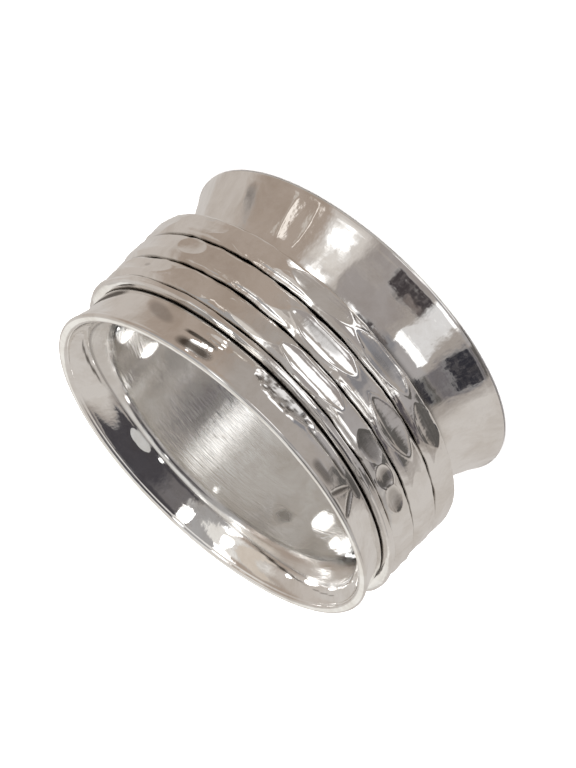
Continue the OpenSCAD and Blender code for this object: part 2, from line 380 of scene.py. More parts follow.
class Value:
    """A number in a node tree, which Python's signs add, subtract, multiply and divide."""

    def __init__(self, tree, socket):
        self.tree = tree
        self.socket = socket

    def __add__(self, other):
        return calc(self.tree, "ADD", self, other)

    def __sub__(self, other):
        return calc(self.tree, "SUBTRACT", self, other)

    def __rsub__(self, other):
        return calc(self.tree, "SUBTRACT", other, self)

    def __mul__(self, other):
        return calc(self.tree, "MULTIPLY", self, other)

    def __truediv__(self, other):
        return calc(self.tree, "DIVIDE", self, other)

    def __rtruediv__(self, other):
        return calc(self.tree, "DIVIDE", other, self)

    def clamped(self):
        """Holds the result of a sum between 0 and 1."""
        self.socket.node.use_clamp = True
        return self


def named_outputs(tree, node):
    return {socket.name: Value(tree, socket) for socket in node.outputs}


def combined(tree, x, y, z):
    """A vector of three numbers."""
    node = tree.nodes.new("ShaderNodeCombineXYZ")
    for value, socket in zip((x, y, z), node.inputs):
        feed(tree, value, socket)
    return node.outputs[0]


def parts_of(tree, vector):
    """The three numbers of a vector."""
    split = tree.nodes.new("ShaderNodeSeparateXYZ")
    link(tree, vector, split.inputs[0])
    return [Value(tree, socket) for socket in split.outputs]


# The turning tree

# Its number inputs: name, kind of socket, default
TURNING_INPUTS = (
    ("Columns", "NodeSocketInt", 600),
    ("Mark Depth", "NodeSocketFloat", 0.13 * MM),
    ("Rim Height", "NodeSocketFloat", 0.012 * MM),
    ("Ripple", "NodeSocketFloat", 0.01 * MM),
    ("Ripple Size", "NodeSocketFloat", 2.0 * MM),
    ("Seed", "NodeSocketInt", 1),
    ("Seat Lean", "NodeSocketFloat", 0.0),
    ("Cup Rise", "NodeSocketFloat", 0.0),
    ("Cup Spread", "NodeSocketFloat", 0.0),
    ("Edge Wander", "NodeSocketFloat", 0.0),
    ("Lean", "NodeSocketFloat", 0.0),
    ("Height", "NodeSocketFloat", 0.0),
)

# What its points keep from the section, in the order in which section_sheet works it out
SECTION_VALUES = (
    "angle", "section_r", "section_z", "out_r", "out_z",
    "across", "bite", "seat", "satin", "tarnish", "cup",
)

# The rim round a mark: its place and half width, where 1 is the mark's own edge, and how fast it
# fades where another mark lies over it
RIM_AT, RIM_HALF, RIM_FADE = 1.06, 0.12, 6.0
# How sharply a mark's darkening ends, painted shade and stain alike
STAIN_AND_SHADE_EDGE = 1.6
# How closely the crease's rise keeps to its two sides
CUP_POWER = 4.0
# An edge wanders in this many waves round the piece, apart at its two sides, and is drawn in where
# the noise passes a level, by so much more for each step above it
WANDER_WAVES, WANDER_SIDES, WANDER_FROM, WANDER_GAIN = 6.5, 4.0, 0.35, 3.0
# How far apart two seeds lie in the noise
RIPPLE_SEED, WANDER_SEED = 7.3, 3.1


def sampled(tree, geometry, attribute, index):
    """The three numbers of a vector attribute, at the point with that index."""
    if attribute == "position":
        source = tree.nodes.new("GeometryNodeInputPosition").outputs[0]
    else:
        named = tree.nodes.new("GeometryNodeInputNamedAttribute")
        named.data_type = "FLOAT_VECTOR"
        named.inputs["Name"].default_value = attribute
        source = named.outputs["Attribute"]
    node = tree.nodes.new("GeometryNodeSampleIndex")
    node.data_type = "FLOAT_VECTOR"
    node.domain = "POINT"
    link(tree, geometry, node.inputs["Geometry"])
    link(tree, source, node.inputs["Value"])
    link(tree, index, node.inputs["Index"])
    return parts_of(tree, node.outputs["Value"])


def kept(tree, name):
    """The value that the points keep under a name."""
    node = tree.nodes.new("GeometryNodeInputNamedAttribute")
    node.data_type = "FLOAT"
    node.inputs["Name"].default_value = name
    return Value(tree, node.outputs["Attribute"])


def keep(tree, geometry, values):
    """Keeps each value on the points, under its name."""
    for name, value in values:
        node = tree.nodes.new("GeometryNodeStoreNamedAttribute")
        node.data_type = "FLOAT"
        node.domain = "POINT"
        node.inputs["Name"].default_value = name
        link(tree, geometry, node.inputs["Geometry"])
        link(tree, value, node.inputs["Value"])
        geometry = node.outputs[0]
    return geometry


def section_sheet(tree, given):
    """A sheet with a row for each point of the section and a column for each step round."""
    section = given["Section"]
    size = tree.nodes.new("GeometryNodeAttributeDomainSize")
    link(tree, section, size.inputs[0])
    rows = Value(tree, size.outputs["Point Count"])
    grid = tree.nodes.new("GeometryNodeMeshGrid")
    link(tree, given["Columns"] + 1, grid.inputs["Vertices X"])
    link(tree, rows, grid.inputs["Vertices Y"])
    index = Value(tree, tree.nodes.new("GeometryNodeInputIndex").outputs[0])
    row = calc(tree, "FLOORED_MODULO", index, rows)
    column = calc(tree, "FLOOR", (index + 0.25) / rows)
    place, outward, strike, finish = (
        sampled(tree, section, name, row) for name in ("position", "outward", "strike", "finish")
    )
    angle = column / given["Columns"] * math.tau
    values = (angle, place[0], place[2], outward[0], outward[2], *strike, *finish)
    return keep(tree, grid.outputs["Mesh"], zip(SECTION_VALUES, values))


def hammered(tree, sheet, marks):
    """Takes the marks one by one, and keeps at each point the deepest mark, rim and darkening, which is a
    stain at some marks and painted shade at others.
    """
    source = tree.nodes.new("GeometryNodeObjectInfo")
    link(tree, marks, source.inputs["Object"])
    points = source.outputs["Geometry"]
    count = tree.nodes.new("GeometryNodeAttributeDomainSize")
    link(tree, points, count.inputs[0])
    begin = tree.nodes.new("GeometryNodeRepeatInput")
    end = tree.nodes.new("GeometryNodeRepeatOutput")
    begin.pair_with_output(end)
    link(tree, count.outputs["Point Count"], begin.inputs["Iterations"])
    link(tree, sheet, begin.inputs["Geometry"])
    turn = begin.outputs["Iteration"]
    angle, across, depth = sampled(tree, points, "position", turn)
    half_length, half_width, point = sampled(tree, points, "reach", turn)
    slant, rim, stain = sampled(tree, points, "set", turn)

    off = kept(tree, "across") - across
    centre = angle + off * slant
    along = calc(tree, "WRAP", kept(tree, "angle") - centre, math.pi, -math.pi) / half_length
    lengthwise = along * along
    side = off / half_width
    crosswise = side * side / calc(tree, "MAXIMUM", 1.0 - point * lengthwise, 0.001)
    inside = 1.0 - lengthwise - crosswise
    edge = (calc(tree, "SQRT", lengthwise + crosswise) - RIM_AT) / RIM_HALF
    found = (
        ("mark", calc(tree, "MAXIMUM", inside, 0.0) * depth),
        ("rim", depth * rim * calc(tree, "MAXIMUM", 1.0 - edge * edge, 0.0)),
        ("tarnish", stain * (inside * STAIN_AND_SHADE_EDGE).clamped()),
    )
    deepest = ((name, calc(tree, "MAXIMUM", kept(tree, name), value)) for name, value in found)
    link(tree, keep(tree, begin.outputs["Geometry"], deepest), end.inputs["Geometry"])
    return end.outputs["Geometry"]


def seeded_noise(tree, where, seed, detail, rough):
    """A soft noise, which another seed draws differently."""
    node = tree.nodes.new("ShaderNodeTexNoise")
    node.noise_dimensions = "4D"
    node.inputs["Scale"].default_value = 1.0
    node.inputs["Detail"].default_value = detail
    node.inputs["Roughness"].default_value = rough
    link(tree, where, node.inputs["Vector"])
    link(tree, seed, node.inputs["W"])
    return Value(tree, node.outputs[0])


def shaped(tree, sheet, given):
    """Moves the points of the sheet to their places on the piece."""
    angle, radius, height = (kept(tree, name) for name in ("angle", "section_r", "section_z"))
    mark, cosine, sine = kept(tree, "mark"), calc(tree, "COSINE", angle), calc(tree, "SINE", angle)
    smaller = tree.nodes.new("ShaderNodeVectorMath")
    smaller.operation = "SCALE"
    link(tree, combined(tree, radius * cosine, radius * sine, height), smaller.inputs[0])
    link(tree, 1.0 / given["Ripple Size"], smaller.inputs["Scale"])
    ripple = seeded_noise(tree, smaller.outputs[0], given["Seed"] * RIPPLE_SEED, 1.0, 0.4)
    raised = kept(tree, "rim") * given["Rim Height"] * (1.0 - mark * RIM_FADE).clamped()
    deep = kept(tree, "bite") * (mark * given["Mark Depth"] + (ripple * given["Ripple"] - raised))

    two_sides = kept(tree, "cup") * calc(tree, "POWER", calc(tree, "ABSOLUTE", cosine), CUP_POWER)
    new_r = radius - kept(tree, "out_r") * deep + two_sides * given["Cup Spread"]
    round_the_edge = combined(
        tree, cosine * WANDER_WAVES, sine * WANDER_WAVES, calc(tree, "SIGN", height) * WANDER_SIDES
    )
    wander = seeded_noise(tree, round_the_edge, given["Seed"] * WANDER_SEED, 2.0, 0.5)
    drawn_in = given["Edge Wander"] * ((wander - WANDER_FROM) * WANDER_GAIN).clamped()
    level = height * (1.0 - drawn_in)
    new_z = two_sides * given["Cup Rise"] + (level - kept(tree, "out_z") * deep)
    drop = kept(tree, "seat") * calc(tree, "TANGENT", given["Seat Lean"]) * (new_r * cosine)

    leant = tree.nodes.new("ShaderNodeVectorRotate")
    leant.rotation_type = "Y_AXIS"
    link(tree, combined(tree, new_r * cosine, new_r * sine, new_z - drop), leant.inputs["Vector"])
    link(tree, given["Lean"], leant.inputs["Angle"])
    lifted = tree.nodes.new("ShaderNodeVectorMath")
    lifted.operation = "ADD"
    link(tree, leant.outputs[0], lifted.inputs[0])
    link(tree, combined(tree, 0.0, 0.0, given["Height"]), lifted.inputs[1])
    move = tree.nodes.new("GeometryNodeSetPosition")
    link(tree, sheet, move.inputs["Geometry"])
    link(tree, lifted.outputs[0], move.inputs["Position"])
    return move.outputs[0]


def finished(tree, geometry, given):
    """Closes the seams, smooths the faces and sets the materials."""
    steps = []
    for kind in ("MergeByDistance", "SetShadeSmooth", "RealizeInstances", "SetMaterial", "SetMaterial"):
        steps.append(tree.nodes.new("GeometryNode" + kind))
        link(tree, geometry, steps[-1].inputs[0])
        geometry = steps[-1].outputs[0]
    closed, _, _, skin, bore_skin = steps
    closed.inputs["Distance"].default_value = SAME_PLACE
    link(tree, given["Skin"], skin.inputs["Material"])
    link(tree, given["Bore Skin"], bore_skin.inputs["Material"])
    link(tree, calc(tree, "GREATER_THAN", kept(tree, "satin"), 0.5), bore_skin.inputs["Selection"])
    return geometry


def turning_tree():
    """Turns a section round the finger's axis and strikes the hammer marks into it."""
    tree = bpy.data.node_groups.new("turned_and_hammered", "GeometryNodeTree")
    face = tree.interface
    face.new_socket("Section", in_out="INPUT", socket_type="NodeSocketGeometry")
    face.new_socket("Marks", in_out="INPUT", socket_type="NodeSocketObject")
    for name, kind, default in TURNING_INPUTS:
        face.new_socket(name, in_out="INPUT", socket_type=kind).default_value = default
    for name in ("Skin", "Bore Skin"):
        face.new_socket(name, in_out="INPUT", socket_type="NodeSocketMaterial")
    face.new_socket("Piece", in_out="OUTPUT", socket_type="NodeSocketGeometry")
    given = named_outputs(tree, tree.nodes.new("NodeGroupInput"))
    sheet = hammered(tree, section_sheet(tree, given), given["Marks"])
    piece = finished(tree, shaped(tree, sheet, given), given)
    link(tree, piece, tree.nodes.new("NodeGroupOutput").inputs[0])
    return tree


def tree_of(name, maker):
    return bpy.data.node_groups.get(name) or maker()


def turned(name, outline, marks, inputs):
    """A piece made by the turning tree, as a plain closed mesh whose faces point outwards."""
    raw = bpy.data.objects.new(name + "_section", outline.mesh(name + "_section"))
    bpy.context.scene.collection.objects.link(raw)
    struck = marks_object(name + "_marks", marks)
    maker = raw.modifiers.new("turned", "NODES")
    maker.node_group = tree_of("turned_and_hammered", turning_tree)
    inputs = {**inputs, "Marks": struck}
    for item in maker.node_group.interface.items_tree:
        if item.in_out == "INPUT" and item.name in inputs:
            maker[item.identifier] = inputs[item.name]
    bpy.context.view_layer.update()
    shape = bpy.data.meshes.new_from_object(raw.evaluated_get(bpy.context.evaluated_depsgraph_get()))
    raw.modifiers.remove(maker)
    for spare in (raw, struck):
        bpy.data.objects.remove(spare)
    for working in (*SECTION_VALUES, "mark", "rim"):
        if working != "tarnish" and working in shape.attributes:
            shape.attributes.remove(shape.attributes[working])
    edit = bmesh.new()
    edit.from_mesh(shape)
    bmesh.ops.recalc_face_normals(edit, faces=edit.faces[:])
    if edit.calc_volume(signed=True) < 0:
        bmesh.ops.reverse_faces(edit, faces=edit.faces[:])
    edit.to_mesh(shape)
    edit.free()
    shape.name = name
    piece = bpy.data.objects.new(name, shape)
    bpy.context.scene.collection.objects.link(piece)
    return piece


# Silver

# Waves a metre of the fine lines in the metal, along x, y and z
FINE_LINES, CROSSED_LINES, BRUSHED_LINES = (900, 900, 6500), (5200, 4300, 700), (260, 260, 11000)
# Waves a metre of the soft unevenness and of the scuffs
PLANISHED, SCUFFED = 750.0, 420.0
# Over which part of their noise the scuffs appear
SCUFF_FROM, SCUFF_TO = 0.42, 0.68
# Roughness where nothing is scuffed and where all is, as shares of the silver's own
CLEAN_SHARE, SCUFFED_SHARE = 0.75, 1.5
# How much rougher the darkened parts are than the silver under it, painted shade and tarnish alike
SHADE_AND_TARNISH_ROUGHER = 0.35

# Each silver: which roughness of SilverLook it has, the strengths of its scratches and of its
# unevenness, the height of its relief in millimetres, and the strength of its brushed lines
SILVERS = {
    "polished_band": ("polish", 0.3, 2.6, 0.008, 0.0),
    "satin_bore": ("satin", 0.3, 0.4, 0.005, 2.4),
    "hammered_crown": ("polish", 0.3, 3.4, 0.008, 0.0),
}


def shader_group(name, inputs, outputs):
    """A group of shader nodes, what it is given and what it gives."""
    tree = bpy.data.node_groups.new(name, "ShaderNodeTree")
    for label, kind, default in inputs:
        socket = tree.interface.new_socket(label, in_out="INPUT", socket_type=kind)
        if default is not None:
            socket.default_value = default
    for label in outputs:
        tree.interface.new_socket(label, in_out="OUTPUT", socket_type="NodeSocketFloat")
    given = named_outputs(tree, tree.nodes.new("NodeGroupInput"))
    return tree, given, tree.nodes.new("NodeGroupOutput").inputs


def use(tree, group, inputs, label=""):
    """A node of a shared group, with its inputs set; gives its outputs by name."""
    node = tree.nodes.new("ShaderNodeGroup")
    node.node_tree = group
    node.label = label
    for name, value in inputs.items():
        feed(tree, value, node.inputs[name])
    return named_outputs(tree, node)


def noise(tree, vector, scale, detail, rough, distortion=0.0):
    """A soft noise between 0 and 1."""
    node = tree.nodes.new("ShaderNodeTexNoise")
    node.inputs["Scale"].default_value = scale
    node.inputs["Detail"].default_value = detail
    node.inputs["Roughness"].default_value = rough
    node.inputs["Distortion"].default_value = distortion
    link(tree, vector, node.inputs["Vector"])
    return Value(tree, node.outputs[0])


def stretched(tree, vector, *times):
    """A vector with each of its three numbers multiplied."""
    node = tree.nodes.new("ShaderNodeVectorMath")
    node.operation = "MULTIPLY"
    node.inputs[1].default_value = times
    link(tree, vector, node.inputs[0])
    return node.outputs[0]


def spread(tree, value, low, high, to_low=0.0, to_high=1.0):
    """A value taken from one span to another, and held within it."""
    node = tree.nodes.new("ShaderNodeMapRange")
    node.inputs["From Min"].default_value = low
    node.inputs["From Max"].default_value = high
    node.inputs["To Min"].default_value = to_low
    node.inputs["To Max"].default_value = to_high
    link(tree, value, node.inputs["Value"])
    return Value(tree, node.outputs[0])


def paint(tree, tone, socket):
    """Sets a socket to a colour, or links a Value to it."""
    if isinstance(tone, Value):
        link(tree, tone, socket)
    else:
        socket.default_value = (*tone[:3], 1.0)


def mixed(tree, share, first, second):
    """A colour between two others."""
    node = tree.nodes.new("ShaderNodeMix")
    node.data_type = "RGBA"
    link(tree, share, node.inputs[0])
    paint(tree, first, node.inputs[6])
    paint(tree, second, node.inputs[7])
    return Value(tree, node.outputs[2])


def hand_polish():
    """Fine scratches and a soft unevenness, as a height and a mask."""
    tree, given, out = shader_group(
        "hand_polish",
        (("Vector", "NodeSocketVector", None), ("Scratches", "NodeSocketFloat", 0.3),
         ("Planishing", "NodeSocketFloat", 0.5)),
        ("Height", "Scuffed"),
    )
    where = given["Vector"]
    fine = noise(tree, stretched(tree, where, *FINE_LINES), 1.0, 2.0, 0.6)
    crossed = noise(tree, stretched(tree, where, *CROSSED_LINES), 1.0, 2.0, 0.6)
    soft = noise(tree, where, PLANISHED, 3.0, 0.55)
    link(tree, (fine + crossed) * given["Scratches"] + soft * given["Planishing"], out["Height"])
    worn = noise(tree, where, SCUFFED, 4.0, 0.65, 0.4)
    link(tree, spread(tree, worn, SCUFF_FROM, SCUFF_TO), out["Scuffed"])
    return tree


def brushed():
    """Lines that run round the bore, as a height."""
    tree, given, out = shader_group("brushed", (("Vector", "NodeSocketVector", None),), ("Height",))
    lines = noise(tree, stretched(tree, given["Vector"], *BRUSHED_LINES), 1.0, 3.0, 0.7)
    link(tree, lines, out["Height"])
    return tree


def silver(name):
    """Solid silver: tone and roughness follow the scuffs, and the surface keeps its tool marks."""
    look = bpy.context.scene.silver_look
    finish, scratches, planishing, relief_mm, brush = SILVERS[name]
    rough = getattr(look, finish)
    skin = bpy.data.materials.new(name)
    skin.use_nodes = True
    tree = skin.node_tree
    metal = tree.nodes["Principled BSDF"]
    metal.inputs["Metallic"].default_value = 1.0
    where = tree.nodes.new("ShaderNodeTexCoord").outputs["Object"]
    polish = use(
        tree, tree_of("hand_polish", hand_polish),
        {"Vector": where, "Scratches": scratches, "Planishing": planishing},
    )
    # The stored darkening mixes the dark colour into the silver: painted shade and painted dark
    # reflections, and real stains in the pits
    stored = tree.nodes.new("ShaderNodeAttribute")
    stored.attribute_name = "tarnish"
    shade_and_tarnish_share = stored.outputs["Fac"]
    clean = mixed(tree, polish["Scuffed"], look.bright, look.worn)
    link(tree, mixed(tree, shade_and_tarnish_share, clean, look.shade_and_tarnish_colour), metal.inputs["Base Color"])
    worn = spread(tree, polish["Scuffed"], 0.0, 1.0, rough * CLEAN_SHARE, rough * SCUFFED_SHARE)
    link(tree, calc(tree, "MULTIPLY_ADD", shade_and_tarnish_share, SHADE_AND_TARNISH_ROUGHER, worn), metal.inputs["Roughness"])
    height = polish["Height"]
    if brush:
        height = height + use(tree, tree_of("brushed", brushed), {"Vector": where})["Height"] * brush
    relief = tree.nodes.new("ShaderNodeBump")
    relief.inputs["Strength"].default_value = 1.0
    relief.inputs["Distance"].default_value = relief_mm * MM
    link(tree, height, relief.inputs["Height"])
    link(tree, relief.outputs[0], metal.inputs["Normal"])
    return skin


def skins():
    """The silvers by name, made when they are first wanted."""
    return {name: bpy.data.materials.get(name) or silver(name) for name in SILVERS}


# Pieces

# How the walls of the two flares curve
COLLAR_CURVE = {"handles": (0.35, 0.35), "slope": 0.2, "up": 1}
FOOT_CURVE = {"handles": (0.3, 0.45), "slope": 0.36, "up": -1}
# Added to the heights inside the ring, so that a dent there leaves the outside alone
INSIDE = 100
# Spinners narrower than this, in millimetres, are narrow ones
NARROW_BELOW = 1.0
# Broad and narrow spinners: steps across the crown, painted shade at its edges, how far the edges wander
BROAD_CROWN = (42, 0.4, 0.10)
NARROW_CROWN = (14, 0.1, 0.06)


def crease_painted_shade(near):
    """Painted shade in the crease of the bell mouth; near is 1 in the crease and 0 far from it."""
    return np.clip(near * 8 - 7.5, 0, 1)


class RING_OT_band(bpy.types.Operator):
    """Make the flared band from its section, with soft dents in both flares"""

    bl_idname = "ring.band"
    bl_label = "Band"

    def execute(self, context):
        size = context.scene.ring_sizes
        lean = math.acos(SPINS["narrow_spinner"]["axis"][2])
        band_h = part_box("band")[1].z
        seat = band_h - size.collar_h
        section = Outline()
        self.collar(section, size, seat, band_h)
        bore_top = self.mouth(section, size, band_h)
        self.bore_and_foot(section, size, bore_top, seat)
        skin = skins()
        piece = turned("silver_band", section, DENTS + pits(), {
            "Columns": size.columns, "Mark Depth": size.dent_depth, "Rim Height": size.mark_rim,
            "Ripple": size.ripple * 2.2, "Ripple Size": 1.3 * MM, "Seed": 3, "Seat Lean": lean,
            "Cup Rise": size.crease_rise, "Cup Spread": size.crease_spread,
            "Skin": skin["polished_band"], "Bore Skin": skin["satin_bore"],
        })
        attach(piece, "band")
        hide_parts("band")
        return {"FINISHED"}

    def collar(self, section, size, seat, band_h):
        """The underside of the collar, its wall and the rim above; dents and lean fade upwards."""
        foot, nose = size.waist_r + size.collar_rise, size.lip_round
        # The underside of the collar is darkened all over: painted shade where it overhangs the narrow
        # spinner
        section.add(straight((size.waist_r, seat), (foot - nose / 4, seat), 3), lean=1.0, tarnish=1.0)
        wall = flare(foot, seat, size.rim_r, size.collar_h, steps=24, **COLLAR_CURVE)[1:-3]
        climb = (wall[:, 1] - seat) / size.collar_h
        section.add(
            wall, across=wall[:, 1] / MM, bite=np.clip((1 - climb) * 4, 0, 1),
            lean=np.clip(1 - 1.15 * climb, 0, 1) ** 1.5,
        )
        section.add(corner(size.rim_r - nose, band_h - nose, nose, 0, 90))
        section.add(corner(size.rim_r - size.lip_wall + nose, band_h - nose, nose, 90, 180))

    def mouth(self, section, size, band_h):
        """The bell mouth, its crease and the shelf below; gives the height where the bore begins."""
        lip_in = size.rim_r - size.lip_wall
        crease = np.array([size.crease_r, band_h - size.crease_deep])
        climb = band_h - crease[1]
        cup = bezier(
            np.array([lip_in, band_h]), np.array([lip_in - 0.07 * climb, band_h - 0.35 * climb]),
            crease + 0.35 * climb * np.array([0.5, 1.0]), crease, 21,
        )[2:]
        # The crease is darkened: painted shade in its valley
        near = np.linspace(0.0, 1.0, len(cup))
        section.add(
            cup, across=INSIDE + cup[:, 1] / MM, bite=0.7, lean=0.5 * near, cup=near,
            tarnish=crease_painted_shade(near),
        )
        high = band_h - size.short_flare_h
        shelf = bezier(
            crease, crease + 0.35 * (np.array([size.bore_r, high]) - crease),
            np.array([size.bore_r, high + 0.12 * MM]), np.array([size.bore_r, high - 0.3 * MM]), 10,
        )[1:]
        # The shelf is darkened near the crease, and faintly further down: painted shade
        near = np.linspace(1.0, 0.0, len(shelf))
        section.add(
            shelf, across=INSIDE + shelf[:, 1] / MM, bite=0.5, lean=0.5 * near, cup=near,
            satin=1.0, tarnish=np.maximum(crease_painted_shade(near), 0.1 * near**0.5),
        )
        return shelf[-1, 1]

    def bore_and_foot(self, section, size, bore_top, seat):
        """The bore, the far flare with its rim, and the waist back up to the collar."""
        low, nose = size.long_flare_h, size.lip_round
        lip_in = size.rim_r - size.lip_wall
        bore = straight((size.bore_r, bore_top), (size.bore_r, low), 22)[1:]
        section.add(bore, across=INSIDE + bore[:, 1] / MM, bite=0.25, satin=1.0)
        inside = flare(size.bore_r, low, lip_in, low, steps=10, **FOOT_CURVE)[1:-1]
        section.add(inside, across=INSIDE + inside[:, 1] / MM, bite=0.5)
        section.add(corner(lip_in + nose, nose, nose, 180, 270))
        section.add(corner(size.rim_r - nose, nose, nose, 270, 360))
        # The top of the far flare's outside is darkened towards the waist: painted shade under the low
        # spinner
        outside = flare(size.waist_r, low, size.rim_r, low, steps=30, **FOOT_CURVE)[::-1][3:]
        section.add(
            outside, across=outside[:, 1] / MM, bite=np.clip(outside[:, 1] / (0.8 * MM), 0, 1),
            tarnish=np.clip((outside[:, 1] / low - 0.93) * 10, 0, 1),
        )
        # The waist is darkened all over: painted shade under the spinners
        section.add(straight((size.waist_r, low), (size.waist_r, seat), 4)[1:-1], tarnish=1.0)


class RING_OT_spinners(bpy.types.Operator):
    """Make the four loose bands and strike their hammer marks"""

    bl_idname = "ring.spinners"
    bl_label = "Spinners"

    def execute(self, context):
        size = context.scene.ring_sizes
        skin = skins()["hammered_crown"]
        for seed, (node, width_mm) in enumerate(WIDTHS.items()):
            axis = SPINS[node]["axis"]
            steps, edge_shade, wander = NARROW_CROWN if width_mm < NARROW_BELOW else BROAD_CROWN
            section = self.section(size, width_mm * MM, steps, edge_shade)
            piece = turned("hammered_" + node, section, MARKS[node], {
                "Columns": size.columns, "Mark Depth": size.mark_depth, "Rim Height": size.mark_rim,
                "Ripple": size.ripple * 1.5, "Ripple Size": 1.2 * MM, "Seed": 10 + seed,
                "Edge Wander": wander, "Lean": math.atan2(axis[0], axis[2]),
                "Height": SPINS[node]["pos_m"][2], "Skin": skin, "Bore Skin": skin,
            })
            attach(piece, node)
            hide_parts(node)
        return {"FINISHED"}

    def section(self, size, width, steps, edge_shade):
        """A crown and two sides; painted shade darkens the sides inwards of half a millimetre below its
        edges.
        """
        share = np.array(SECTION)
        t = np.linspace(0.0, 1.0, steps + 1)
        r = size.crown_r - size.edge_drop * np.interp(t, share[:, 0], share[:, 1])
        crown = np.stack([r, (t - 0.5) * width], 1)
        foot = size.spinner_bore_r
        side = straight((foot, -width / 2), crown[0], 6)[:-1]
        # The sides are darkened inwards of half a millimetre below the crown's edges: painted shade in
        # the gaps between the spinners
        deep = 0.65 * np.clip((crown[0, 0] - 0.5 * MM - side[:, 0]) / (0.12 * MM), 0, 1)
        section = Outline()
        section.add(side, tarnish=deep)
        # The crown's edges are darkened a little: painted shade along the gaps between the spinners
        worn = np.clip(edge_shade - np.minimum(t, 1 - t) * 16, 0, 1)
        section.add(crown, across=t, bite=1.0, tarnish=worn)
        section.add((side * (1, -1))[::-1], tarnish=deep[::-1])
        # The bore is darkened all over: painted shade where it sits round the band
        section.add(straight((foot, width / 2), (foot, -width / 2), 2)[1:-1], tarnish=1.0)
        return section


# The studio

# What the silver mirrors, as rows of Patch: direction round the ring and above the floor, half
# sizes and softness, all in degrees
PANELS = [
    ("warm_side", 350, -10, 42, 80, 16, (0.40, 0.33, 0.28)),
    ("pale_side", 40, 0, 22, 80, 14, (0.55, 0.50, 0.46)),
    ("pale_back", 116, 0, 62, 90, 10, (0.61, 0.575, 0.545)),
    ("back_lamp", 95, 24, 22, 10, 6, (0.9, 0.88, 0.84)),
    ("overhead", 0, 90, 360, 32, 16, (0.80, 0.79, 0.78)),
    ("overhead_light", 345, 62, 50, 14, 8, (0.85, 0.83, 0.80)),
    ("dim_window", 225, -15, 16, 24, 6, (0.40, 0.38, 0.38)),
    ("dark_left", 200, -18, 11, 24, 5, (0.10, 0.095, 0.09)),
    ("blue_left", 246, -18, 8, 20, 6, (0.24, 0.24, 0.26)),
    ("rose_front", 268, 8, 20, 22, 6, (0.34, 0.31, 0.30)),
    ("dark_flag", 205, 48, 19, 14, 7, (0.08, 0.07, 0.08)),
    ("high_window_left", 240, 42, 13, 8, 5, (1.7, 1.7, 1.7)),
    ("pale_right", 306, 14, 14, 24, 7, (0.62, 0.58, 0.55)),
    ("lamp_shade", 199, 16, 12, 10, 6, (0.16, 0.15, 0.16)),
    ("window_head", 231, 24, 9, 14, 4, (0.74, 0.73, 0.73)),
    ("window", 232, 11, 9, 8, 4, (1.5, 1.5, 1.5)),
    ("front_window", 266, -23, 12, 12, 5, (1.5, 1.5, 1.52)),
    ("lamp_glow", 308, 21, 9, 9, 8, (0.75, 0.71, 0.67)),
    ("high_window", 313, 43, 15, 11, 5, (2.2, 2.2, 2.2)),
    ("cream_edge", 332, 18, 2.6, 12, 2, (1.1, 1.02, 0.95)),
    ("cream_edge_far", 346, 16, 1.6, 9, 2.5, (0.62, 0.57, 0.52)),
]

# Cards near the ring that nothing but its reflections shows. The upright ones: distance from the
# axis, lowest and highest point in millimetres, roughness of the edges in degrees, then rows of
# Patch, with height and half height in millimetres and the rest in degrees
UPRIGHT_CARDS = {
    "mouth_cards": (16.0, 12.4, 90.0, 1.5, [
        ("soft_grey", 240, 19, 50, 6, 6, (0.42, 0.40, 0.39)),
        ("dark_curtain", 224, 57, 66, 32, 7, (0.045, 0.042, 0.05)),
        ("between", 314, 50, 19, 40, 8, (0.38, 0.37, 0.37)),
        ("dark_haze", 268, 64, 24, 24, 24, (0.15, 0.14, 0.145)),
        ("cream", 27, 44, 16, 18, 12, (0.66, 0.59, 0.52)),
    ]),
    "flare_cards": (13.0, 1.0, 3.7, 6.0, [
        ("dark_left", 227, 2.0, 7.8, 0.85, 2, (0.03, 0.03, 0.038)),
        ("dark_middle", 261.6, 2.1, 9, 0.75, 2, (0.055, 0.047, 0.05)),
        ("brown", 258, 2.5, 4, 0.25, 2, (0.2, 0.17, 0.16)),
        ("lamp", 292.8, 2.4, 4.6, 0.8, 4, (2.4, 2.4, 2.4)),
        ("small_dark", 337, 2.0, 2.5, 0.5, 3, (0.28, 0.25, 0.23)),
    ]),
    "skirt_cards": (11.1, -8.0, -0.02, 4.0, [
        ("base", 0, -4, 200, 8, 1, (0.44, 0.415, 0.39)),
        ("dark_left", 204, -0.6, 8, 0.6, 3, (0.16, 0.15, 0.15)),
        ("dark_side", 223, -3, 14, 4, 3, (0.13, 0.12, 0.13)),
        ("dark_line", 241, -3, 4, 4, 2, (0.01, 0.01, 0.01)),
        ("bright_front", 257, -2.5, 10, 3, 2, (1.3, 1.3, 1.3)),
        ("light_front", 287, -1.5, 10, 1.6, 4, (0.6, 0.59, 0.58)),
    ]),
}

# The card below the bore: its height and radius in millimetres, then rows of Patch in millimetres
LOW_CARD = (-8.0, 11.1, [
    ("base", 0, 0, 50, 50, 1, (0.44, 0.415, 0.39)),
    ("dark_side", -5.4, -6, 2.4, 2, 0.6, (0.10, 0.09, 0.10)),
    ("dark_edge", -9.6, -2, 1.2, 1.4, 0.6, (0.16, 0.15, 0.15)),
    ("light_front", 2, -6, 1.8, 2.5, 0.8, (0.58, 0.57, 0.56)),
    ("bright_front", -1, -6.8, 1.5, 2.4, 0.6, (1.4, 1.4, 1.4)),
])

